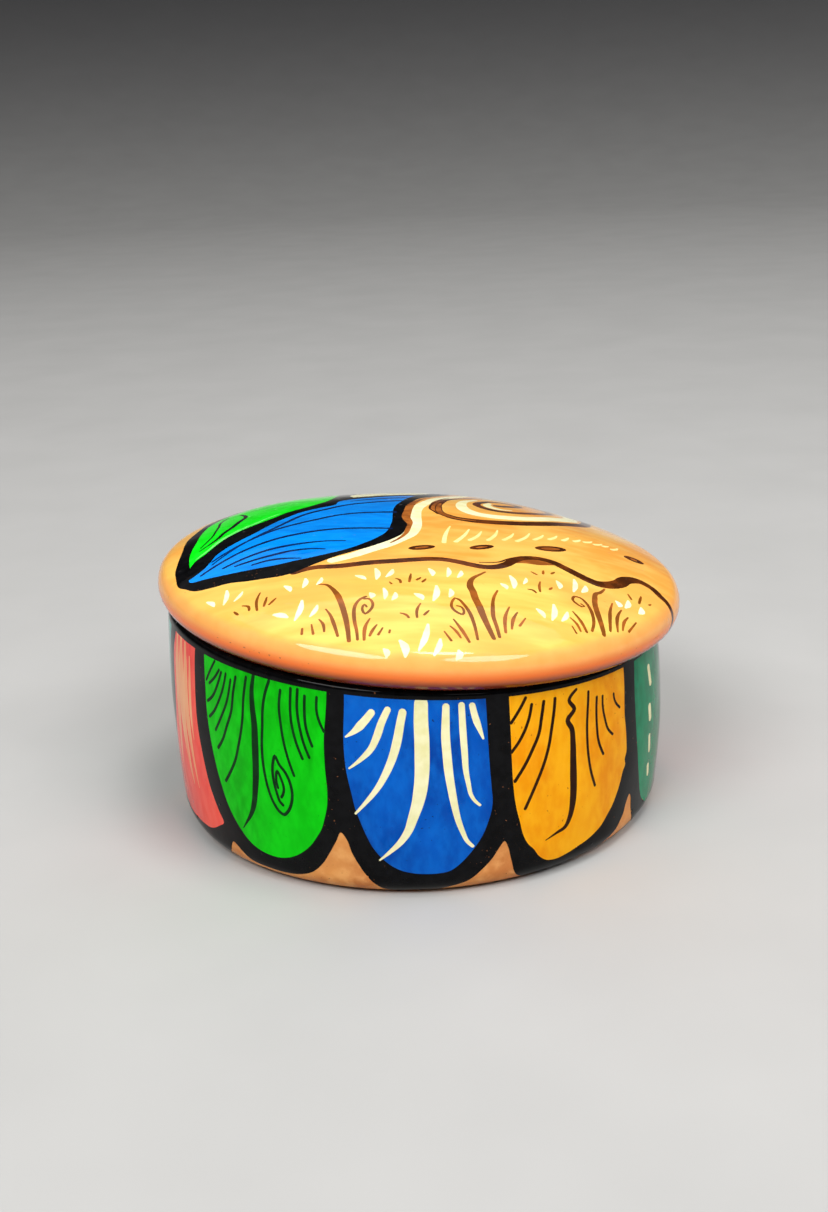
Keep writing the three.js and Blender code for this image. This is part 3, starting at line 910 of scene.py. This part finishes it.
CORAL_BACK = [
    (81, ABOVE), (80.6, 30), (81, 22), (82.4, 14), (85, 8), (89, 4.6), (95, 3.8), (101, 4), (106, 5.4),
    (109.4, 9), (111, 14), (111.8, 20), (112, 28), (111.6, ABOVE),
]
TEAL_BACK = [
    (-136, ABOVE), (-136.4, 30), (-136.2, 22), (-134.8, 14), (-132, 8), (-128, 4.6), (-122, 3.8),
    (-116.6, 4.2), (-112.6, 7), (-110, 12), (-108.8, 18), (-108.4, 26), (-108.8, ABOVE),
]

FRONT_EDGE = [
    (-51, 1), (-48.8, 2.6), (-47, 4.8), (-45.1, 4.1), (-41.3, 2.5), (-37.6, 2.2), (-31.6, 2.1),
    (-27.9, 2.6), (-24.5, 3.8), (-21.9, 6), (-20, 8.5), (-18.5, 10.7), (-17.2, 12.6), (-16.1, 11.3),
    (-15.2, 8.8), (-14, 6.6), (-12.5, 4.4), (-10.7, 2.6), (-8.8, 1.3), (-4, 0.7), (2, 0.8), (5.4, 1.6),
    (8.8, 2.6), (11.8, 4.4), (14.4, 6.6), (15.9, 8.5), (17, 9.6), (17.8, 8.2), (18.5, 5.7), (19.7, 2.3),
    (22, 0.9), (26, 0.3), (34, 0.3), (41, 0.9), (45.9, 2.3), (48.8, 3.5), (51.5, 5.4), (52.6, 7.3),
    (54.1, 8.5), (54.7, 7.9), (55.2, 5.7), (56, 3.2), (57.8, 1.3),
]
SIDE_EDGE = [
    (-133, 1.2), (-126, 0.6), (-119, 0.8), (-112, 2.2), (-108.6, 4.6), (-106.6, 7.6), (-105, 5),
    (-102, 2.2), (-97, 1), (-92, 2), (-89.6, 3.6), (-87.4, 5.6), (-84.6, 3.6), (-80, 1.6), (-72, 0.8),
    (-60, 0.7),
]
FAR_EDGE = [
    (62, 0.5), (68, 0.6), (72, 1.8), (75.6, 4.4), (78.2, 8.2), (80.4, 5), (84, 2), (90, 0.8), (100, 0.8),
    (107, 1.6), (110.6, 3.6), (113.4, 6.6), (115.6, 4.4),
]


# The front's foot edge is repeated round the back: its part up to this angle comes before the
# seam, and its part from this angle on comes after it.
EDGE_SPLIT = 17


def back_of(points, shift=REPEAT):
    return [(angle + shift, z) for angle, z in points]


GREEN_LINES = [
    (0.5, [(-48.1, 39.8), (-50, 37.6), (-51.6, 35.6)]),
    (0.5, [(-46.6, 38.5), (-48.5, 36.6), (-50.5, 35.2)]),
    (0.55, [(-45.9, 38.2), (-47.6, 35.3), (-49.5, 33), (-51.6, 31.6)]),
    (0.55, [(-44.4, 38.2), (-45.6, 35.2), (-47.3, 32.6), (-49.4, 30.1), (-51.2, 28.7)]),
    (0.55, [(-42.9, 37.4), (-44.6, 32.9), (-47, 29.4), (-49.2, 26.6)]),
    (0.6, [(-41.3, 38.2), (-42.3, 35), (-43.2, 31.6), (-45.1, 28.2), (-47, 25.1), (-48.7, 23.3)]),
    (0.6, [(-38.2, 38.7), (-39.3, 34.1), (-39.7, 31.3), (-40.6, 27.9), (-41.7, 25.1), (-42.8, 22.6),
        (-44.7, 19.8), (-46.8, 17.3)]),
    ((0.7, 1.3, 1.6, 1.5, 1.1, 0.2), [(-36.1, 39.4), (-36.7, 36.6), (-36.7, 33.5), (-36.4, 30.4),
        (-36.5, 27.3), (-36.7, 24.1), (-37, 21), (-37.6, 17.9), (-38.4, 14.8), (-39.7, 12.3), (-41.2, 10.5),
        (-42.5, 9)]),
    (0.6, [(-32, 39), (-33.1, 36.6), (-33.9, 33.5), (-34.2, 30.4), (-34.6, 27.3), (-34.7, 24.1),
        (-34.4, 21), (-33.7, 18.2), (-32.6, 16), (-31.2, 14.6), (-30.3, 14.3), (-29.2, 15.1), (-28.1, 16.9),
        (-27.7, 19.1), (-28.1, 21), (-29, 22.6), (-30.5, 24), (-31.4, 25.4), (-32, 24.1), (-32.3, 22.3),
        (-32.1, 20.1), (-31.6, 18.2), (-30.9, 16.6), (-30.3, 16.2)]),
    (0.55, [(-31.2, 19.4), (-31.5, 21), (-31.1, 22.6), (-30.1, 21), (-29.7, 19.4), (-30.1, 18.2),
        (-30.5, 17.7)]),
    (0.55, [(-29.2, 37.7), (-29.6, 35), (-29.4, 31.9), (-29, 28.8), (-28.2, 25.7), (-26.9, 22.4)]),
    (0.55, [(-26.7, 38.3), (-26.9, 35), (-26.7, 31.9), (-25.8, 28.5), (-24.6, 25.9)]),
    (0.55, [(-25.1, 38.3), (-25.3, 35), (-24.9, 31.9), (-24.1, 28.8), (-23, 26.3)]),
    (0.55, [(-23.5, 37.3), (-23.6, 35), (-23.4, 31.9), (-22.2, 28.5)]),
    (0.5, [(-20.8, 37.3), (-20.8, 34.4), (-19.4, 31.4)]),
]

BLUE_LINES = [
    ((1.2, 1.4, 0.3), [(-9.3, 35.2), (-11, 33.5), (-12.9, 31.9), (-14.8, 30.8)]),
    ((1.1, 1.3, 1.0, 0.3), [(-6, 35.7), (-7.3, 33.5), (-8.4, 31), (-9.7, 28.8), (-11.8, 26.9),
        (-14.4, 25.1)]),
    ((1.3, 1.5, 1.3, 0.9, 0.4), [(-3, 35.2), (-3.5, 33.5), (-4.3, 30.4), (-5.4, 27.3), (-6.9, 24.4),
        (-8.8, 21.6), (-11.4, 18.8), (-13.7, 16.6)]),
    ((2.3, 2.5, 2.5, 2.3, 1.7, 1.1, 0.3), [(0.8, 36.6), (0.6, 33.5), (0.6, 30.4), (0.5, 27.3), (0.3, 24.1),
        (-0.2, 21), (-0.9, 18.5), (-1.9, 16), (-3, 13.5), (-4.7, 11.3), (-6.9, 9.4), (-9.3, 7.6)]),
    ((1.2, 1.5, 1.5, 1.3, 1.0, 0.6), [(5.8, 35.7), (5.6, 33.5), (5.4, 30.4), (5.5, 27.3), (5.7, 24.1),
        (6.1, 21), (6.6, 17.9), (7.3, 14.8), (8.1, 12.6), (9, 10.7), (10.1, 9.6)]),
    ((1.1, 1.2, 1.1, 0.8, 0.5), [(9, 35.7), (9, 30.4), (9.1, 27.3), (9.2, 24.1), (9.6, 21.6), (10.1, 19.4),
        (10.9, 18.2), (11.8, 17.4)]),
    ((1.1, 1.2, 0.4), [(11.2, 35.4), (11.8, 32.9), (12.5, 31), (13.1, 29.4)]),
]

AMBER_LINES = [
    (0.6, [(22.9, 35.1), (21.3, 33.2), (19.3, 31.2)]),
    (0.6, [(24.2, 33.7), (23.4, 31.3), (22.3, 29.4), (20.8, 27.6), (19, 26)]),
    (0.65, [(27.1, 33.7), (26.4, 31), (25.5, 28.2), (23.8, 25.7), (21.9, 23.2), (19.5, 20.6)]),
    (0.65, [(29.9, 33.7), (29.4, 31), (28.6, 28.2), (27.7, 25.4), (26.4, 22.6), (24.5, 19.4), (21.7, 15)]),
    ((0.6, 0.9, 1.1, 1.4, 1.6, 1.5, 0.9, 0.2), [(35.6, 34.1), (33.5, 32.6), (34.8, 30.7), (32.9, 29),
        (33.9, 27.3), (34.1, 24.8), (34, 21.6), (33.9, 18.5), (33.8, 15.4), (33.5, 12.9), (32.8, 10.7),
        (31.6, 9.1), (29.4, 8.5), (26.6, 7.7)]),
    (0.6, [(39, 32.9), (38.7, 30.4), (38.3, 27.3), (38.2, 24.1), (38.4, 21), (39, 17.9), (40.2, 14.8)]),
    (0.6, [(41.5, 31.3), (41.2, 28.5), (41.2, 25.7), (41.5, 23.2), (42.3, 21.3), (43, 20.1)]),
    (0.55, [(43.4, 31), (43.3, 29.1), (43.8, 26.6), (44.7, 24.4), (46.2, 23)]),
    (0.55, [(47.2, 30.4), (47.5, 29), (49.1, 27.3)]),
]

TEAL_DASHES = [
    (1.4, [(64.6, 30.4), (65, 27.2)]), (1.4, [(63.8, 23), (64.2, 20.4)]),
    (1.2, [(64.2, 16.8), (64.8, 13.8)]), (1.1, [(64.4, 10.6), (64.8, 8.8)]),
]

PEACH_STROKES = [
    ((0.8, 2.2, 2.4, 1.6, 0.3), [(-66.6, 41), (-67.8, 34), (-68.2, 28), (-68.6, 21), (-69.6, 14)]),
    ((1.0, 2.6, 3.0, 1.8, 0.3), [(-64, 41), (-64.9, 34), (-65, 27), (-64, 19), (-62.4, 12)]),
    ((0.8, 2.0, 2.2, 1.1, 0.2), [(-61.6, 40), (-62.2, 34), (-62, 27), (-61, 19), (-59.6, 12)]),
    ((0.4, 1.0, 1.0, 0.2), [(-59.4, 38), (-59.8, 33), (-59.8, 28), (-59.2, 22)]),
]


def wall_shapes():
    """The wall's painting, in the order that it was laid on. The back repeats the front's
    petals, because nothing shows what is there."""
    shapes = []

    def fill(colour_name, points):
        loop = on_wall(points)
        shapes.append((colour_name, smooth(loop)))

    def line(colour_name, widths, points):
        shapes.append((colour_name, brush(on_wall(points), widths)))

    near = [point for point in FRONT_EDGE if point[0] <= EDGE_SPLIT]
    rest = [point for point in FRONT_EDGE if point[0] >= EDGE_SPLIT]
    edge = back_of(rest, REPEAT - FULL_TURN) + SIDE_EDGE + FRONT_EDGE + FAR_EDGE + back_of(near)
    right, left = BAND
    ends = [right * (1, 10), right * (1, ABOVE), left * (1, ABOVE), left * (1, 10)]
    shapes.append(("black", np.vstack([smooth(on_wall(edge)), ends])))
    for shift in (0, REPEAT):
        fill("green", back_of(GREEN_PETAL, shift))
        fill("blue", back_of(BLUE_PETAL, shift))
        if shift:
            shift -= FULL_TURN
        fill("amber", back_of(AMBER_PETAL, shift))
    fill("teal", TEAL_PETAL)
    fill("teal", TEAL_BACK)
    fill("coral", CORAL_PETAL)
    fill("coral", CORAL_BACK)
    fill("pale_teal", PALE_TEAL_PETAL)
    for shift in (0, REPEAT):
        for widths, points in GREEN_LINES:
            line("dark_green", widths, back_of(points, shift))
        for widths, points in BLUE_LINES:
            line("cream", widths, back_of(points, shift))
        if shift:
            shift -= FULL_TURN
        for widths, points in AMBER_LINES:
            line("dark_brown", widths, back_of(points, shift))
    for shift in (0, TEAL_REPEAT):
        for width, points in TEAL_DASHES:
            line("cream", width, back_of(points, shift))
    for shift, drop in ((0, 0), (PEACH_REPEAT, PEACH_DROP)):
        for widths, points in PEACH_STROKES:
            line("peach", widths, [(angle, z - drop) for angle, z in back_of(points, shift)])
    # Painted shade: a black band round the top of the wall and over the lip, under the lid's overhang.
    low, high = LIP - LIP_SHADE_START, LIP + LIP_SHADE_OVER
    shapes.append(("black", np.vstack([BAND[::-1] * (1, low), BAND * (1, high)])))
    return shapes


# ---------------------------------------------------------------------------------- building

# The ground's points stand in staggered rows, and keep clear of the border and the lip.
GRID = 1.3
ROW = GRID * 0.866
CLEAR = 0.7
# Rows of points over the lip's round, as parts of its quarter turn.
LIP_ROWS = (0, 0.2, 0.4, 0.6, 0.8, 1, 1.35)


def ground_grid(low, high):
    x, y = np.meshgrid(np.arange(low[0], high[0], GRID), np.arange(low[1], high[1], ROW))
    x = x + (np.arange(x.shape[0]) % 2 * GRID / 2)[:, None]
    return np.stack([x.ravel(), y.ravel()], -1)


def paint(body, border, shapes, ground, surface):
    """One film for each colour that shows."""
    points, triangles, colours = partition(border, shapes, ground)
    for name in sorted(set(colours) - {""}):
        piece = film(body + "_paint_" + name, points, triangles[colours == name], surface,
                     MATERIALS[name], body)


def paint_wall():
    left, right = (SEAM - FULL_TURN) * UNROLL, SEAM * UNROLL
    heights = np.arange(WALL_FOOT, WALL_TOP, GRID)
    across = np.linspace(left, right, TURNS + 1)
    border = np.vstack([
        np.stack([across[:-1], np.full(TURNS, WALL_FOOT)], -1),
        np.stack([np.full(len(heights), right), heights], -1),
        np.stack([across[:0:-1], np.full(TURNS, WALL_TOP)], -1),
        np.stack([np.full(len(heights), left), heights[::-1]], -1)[:-1],
    ])
    ground = ground_grid((left + 0.9, WALL_FOOT + CLEAR), (right - 0.9, LIP - CLEAR))
    rows = [LIP + QUARTER * part for part in LIP_ROWS]
    lip = np.stack(np.meshgrid(across[1:-1], rows), -1).reshape(-1, 2)
    paint("base", border, wall_shapes(), np.vstack([ground, lip]), wall_point)


def paint_lid():
    border = circle(LID_EDGE, TURNS)
    ground = ground_grid((-LID_EDGE, -LID_EDGE), (LID_EDGE, LID_EDGE))
    ground = ground[np.hypot(*ground.T) < LID_EDGE - CLEAR]
    paint("lid", border, lid_shapes(), ground, lid_point)


def make_base():
    """The thrown bowl: foot, bellied wall, rounded lip, ribbed inside and floor."""
    outer = wall_radius(LIP)
    inner = outer - WALL
    fillet_x = wall_radius(FILLET_TOP) - WALL - INNER_FILLET
    profile = [(0, 0)] + [(r, 0) for r in (10, 20, 30, 38)]
    profile += arc(FOOT_RADIUS, FOOT_CORNER, FOOT_CORNER, -90, 0, 8)
    profile += [(wall_radius(z), z) for z in np.linspace(FOOT_CORNER, LIP, 30)[1:-1]]
    profile += arc(outer - LIP_ROUND, LIP, LIP_ROUND, 0, 90, 5)
    profile += arc(inner + LIP_ROUND, LIP, LIP_ROUND, 90, 180, 5)
    profile += [(wall_radius(z) - WALL, z) for z in np.linspace(LIP, FILLET_TOP, 40)[1:-1]]
    profile += arc(fillet_x, FILLET_TOP, INNER_FILLET, 0, -90, 14)
    profile += [(r, FLOOR) for r in np.arange(31, 1, -1.5)] + [(0, FLOOR)]

    def place(radius, height, angle):
        outside = (radius > wall_radius(height) - 0.5 * WALL) | (height < FLOOR - 0.1)
        stray = np.where(height > 0.01, hand_made(angle, height), 0)
        ridge = 0.16 * np.sin(height * 1.9 + 0.4 * np.sin(angle * 2)) * (height > FLOOR + 1)
        floor_ridge = 0.14 * np.sin(radius * 1.7 + angle)
        radius = radius + np.where(outside, stray, -ridge * (height < LIP))
        flat = (height > FLOOR - 0.1) & (height < FLOOR + 0.1)
        x = radius * np.sin(angle)
        z = sheared(x, height) + np.where(flat, floor_ridge * np.clip(radius / 6, 0, 1), 0)
        return np.stack([x, -radius * np.cos(angle), z], -1)

    vertices, faces = lathe(profile, place)
    piece = make_object("base_clay", vertices, faces, MATERIALS["clay"], "base")
    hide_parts("box_base")


# Round the rim's middle plane, this far up and down, the clay passes into the painted surface.
LID_TURN = 0.2


def make_lid():
    """The lid's clay: the dished underside, with the dome that the paint covers."""
    profile = [(0, -RIM_ROUND + DISH_DEPTH)]
    for r in np.linspace(0, DISH_RADIUS, 24)[1:]:
        profile.append((r, -RIM_ROUND + DISH_DEPTH * (1 - (r / DISH_RADIUS) ** 2)))
    profile += [(r, -RIM_ROUND) for r in (38, 41, 44)]
    profile += arc(RIM_MIDDLE, 0, RIM_ROUND, -90, np.degrees(RIM_END), 20)
    for r in np.linspace(DOME_RADIUS, 0, 34)[1:-1]:
        profile.append((r, dome_height(r)))
    profile += [(0, CROWN_HEIGHT)]

    def place(radius, height, angle):
        x, y = radius * np.sin(angle), -radius * np.cos(angle)
        flat = on_lid(np.stack([x, y], -1)).T
        dome = lid_point(*flat)
        z = np.where(height > -LID_TURN, height + lid_wave(*flat), height)
        top = height > LID_TURN
        return np.stack([np.where(top, dome[:, 0], x), np.where(top, dome[:, 1], y), z], -1)

    vertices, faces = lathe(profile, place)
    # The lid's clay takes the darker clay, which is painted shade for its underside.
    piece = make_object("lid_clay", vertices, faces, MATERIALS["shaded_inside_clay"], "lid")
    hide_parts("lid")


def make_ring():
    """The luted ring under the lid that keeps it on centre."""
    top, bottom = -RIM_ROUND - SEAT_GAP, -RIM_ROUND - RING_DEPTH
    inner = RING_OUTER - RING_WALL
    turn = bottom + RING_ROUND
    profile = [(inner, z) for z in np.linspace(top, turn, 6)[:-1]]
    profile += arc(inner + RING_ROUND, turn, RING_ROUND, 180, 270, 5)
    profile += arc(RING_OUTER - RING_ROUND, turn, RING_ROUND, -90, 0, 5)
    profile += [(RING_OUTER, z) for z in np.linspace(turn, top, 6)[1:]]
    profile += [(RING_OUTER - 1.3, top), (inner + 1.3, top)]

    def place(radius, height, angle):
        stray = 0.12 * np.sin(5 * angle + height) + 0.07 * np.sin(11 * angle)
        radius = radius + np.where(height < top - 0.1, stray, 0)
        return np.stack([radius * np.sin(angle), -radius * np.cos(angle), height], -1)

    vertices, faces = lathe(profile, place)
    piece = make_object("lid_ring_clay", vertices, faces, MATERIALS["ring_clay"], "lid")
    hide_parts("lid_locating_ring")


# ---------------------------------------------------------------------------------- studio


# The floor: its number of sides, and the radius in metres where it starts to rise.
FLOOR_SIDES = 96
FLOOR_BEND = 1.4


def make_studio():
    """A plain pale floor that bends up into a backdrop."""
    floor = Shader("floor")
    pale = floor.mix(floor.noise(40.0, 3.0), colour(0xACABA9), colour(0xB6B5B3))
    tone = floor.mix(floor.span(floor.radius(), 1.3, 2.4), pale, colour(0x4A4A4C))
    floor.put(floor.bsdf.inputs["Base Color"], tone)
    floor.bsdf.inputs["Roughness"].default_value = 0.9
    floor.bsdf.inputs["Specular IOR Level"].default_value = 0.0
    radii = np.concatenate([[0], np.linspace(0.4, FLOOR_BEND, 4), np.linspace(1.5, 3.2, 16)])
    rings = [(r, 0.5 * max(0.0, r - FLOOR_BEND) ** 2) for r in radii]
    angle = np.linspace(0, 2 * np.pi, FLOOR_SIDES, endpoint=False)
    vertices, faces = [(0, 0, 0)], []
    for r, z in rings[1:]:
        vertices.extend((r * np.cos(t), r * np.sin(t), z) for t in angle)
    for i in range(FLOOR_SIDES):
        j = (i + 1) % FLOOR_SIDES
        faces.append((0, 1 + i, 1 + j))
        for k in range(len(rings) - 2):
            a = 1 + FLOOR_SIDES * k
            b = a + FLOOR_SIDES
            faces.append((a + i, b + i, b + j, a + j))
    data = bpy.data.meshes.new("studio_floor")
    data.from_pydata([tuple(map(float, p)) for p in vertices], [], faces)
    data.shade_smooth()
    data.materials.append(floor.material)
    ground = bpy.data.objects.new("studio_floor", data)
    bpy.context.scene.collection.objects.link(ground)


LIGHTS_AIM = Vector((0, 0, 0.03))


def area_light(name, place, size, watts):
    """A soft white panel of size (across, up) that looks at the box."""
    data = bpy.data.lights.new(name, "AREA")
    data.shape = "ELLIPSE"
    data.size, data.size_y = size
    data.energy = watts
    lamp = bpy.data.objects.new(name, data)
    lamp.location = place
    aim = LIGHTS_AIM - Vector(place)
    lamp.rotation_euler = aim.to_track_quat("-Z", "Y").to_euler()
    lamp.visible_camera = False
    bpy.context.scene.collection.objects.link(lamp)


def make_lights():
    world = bpy.data.worlds.new("studio")
    world.use_nodes = True
    back = world.node_tree.nodes["Background"]
    back.inputs["Color"].default_value = (1, 1, 1, 1)
    back.inputs["Strength"].default_value = 0.16
    bpy.context.scene.world = world
    area_light("ceiling", (0, 0.2, 1.7), (2.4, 2.4), 13.0)
    area_light("overhead", (0.17, -0.12, 0.9), (0.2, 0.26), 2.2)
    area_light("front_left", (-0.55, -0.8, 1.05), (0.8, 0.6), 13.0)
    area_light("front_right", (0.6, -0.75, 1.0), (0.8, 0.6), 11.0)
    bpy.context.scene.view_settings.view_transform = "Standard"


make_base()
make_lid()
make_ring()
paint_wall()
paint_lid()
make_studio()
make_lights()
